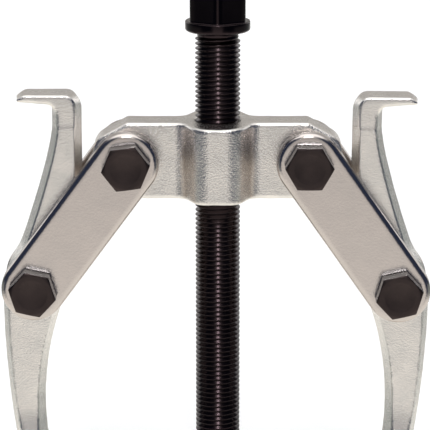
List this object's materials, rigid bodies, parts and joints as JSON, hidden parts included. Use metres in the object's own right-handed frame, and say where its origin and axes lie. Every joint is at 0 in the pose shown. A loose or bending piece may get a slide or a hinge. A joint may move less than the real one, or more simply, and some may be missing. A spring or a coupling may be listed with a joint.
{
  "type": "gear puller",
  "caption": "Two-arm gear puller: a forcing screw through a forged yoke, with double-ended jaws on paired flat links.",
  "frame": {"origin": "on the screw's axis at the yoke's mid-height, which is also the height of the yoke's two pivots", "axes": "+Z along the screw towards its drive hexagon, +X to the right arm, +Y to the side where the nuts are"},
  "size_m": [0.1341, 0.0403, 0.1726],
  "materials": {
    "zinc_plate": "satin",
    "black_oxide": "satin",
    "ball_steel": "polished",
    "nylon": "satin"
  },
  "bodies": {
    "yoke": {"yoke": "zinc_plate"},
    "tip": {"tip_ball": "ball_steel"},
    "spindle": {"spindle": "black_oxide"},
    "left_jaw": {"jaw_left": "zinc_plate"},
    "left_links": {"link_front_left": "zinc_plate", "link_back_left": "zinc_plate", "yoke_bolt_left": "black_oxide", "yoke_nut_left": "black_oxide", "yoke_nut_ring_left": "nylon", "jaw_bolt_left": "black_oxide", "jaw_nut_left": "black_oxide", "jaw_nut_ring_left": "nylon"},
    "right_jaw": {"jaw_right": "zinc_plate"},
    "right_links": {"link_front_right": "zinc_plate", "link_back_right": "zinc_plate", "yoke_bolt_right": "black_oxide", "yoke_nut_right": "black_oxide", "yoke_nut_ring_right": "nylon", "jaw_bolt_right": "black_oxide", "jaw_nut_right": "black_oxide", "jaw_nut_ring_right": "nylon"}
  },
  "joints": [
    {"name": "spindle_feed", "type": "slide", "parent": "yoke", "child": "tip", "axis": [0, 0, -1], "range_m": [-0.09, 0.027]},
    {"name": "spindle_turn", "type": "hinge", "parent": "tip", "child": "spindle", "pos_m": [0, 0, 0], "axis": [0, 0, -1], "range_deg": [-21600, 6480]},
    {"name": "left_link_swing", "type": "hinge", "parent": "yoke", "child": "left_links", "pos_m": [-0.028, 0, 0], "axis": [0, 1, 0], "range_deg": [-17, 40]},
    {"name": "left_jaw_swing", "type": "hinge", "parent": "left_links", "child": "left_jaw", "pos_m": [-0.05713, 0, -0.03965], "axis": [0, -1, 0], "range_deg": [-2.5, 28]},
    {"name": "right_link_swing", "type": "hinge", "parent": "yoke", "child": "right_links", "pos_m": [0.028, 0, 0], "axis": [0, -1, 0], "range_deg": [-17, 40]},
    {"name": "right_jaw_swing", "type": "hinge", "parent": "right_links", "child": "right_jaw", "pos_m": [0.05608, 0, -0.0404], "axis": [0, 1, 0], "range_deg": [-2.5, 28]}
  ],
  "couplings": [
    {"joint": "spindle_turn", "follows": "spindle_feed", "rad_per_m": 4188.8}
  ]
}
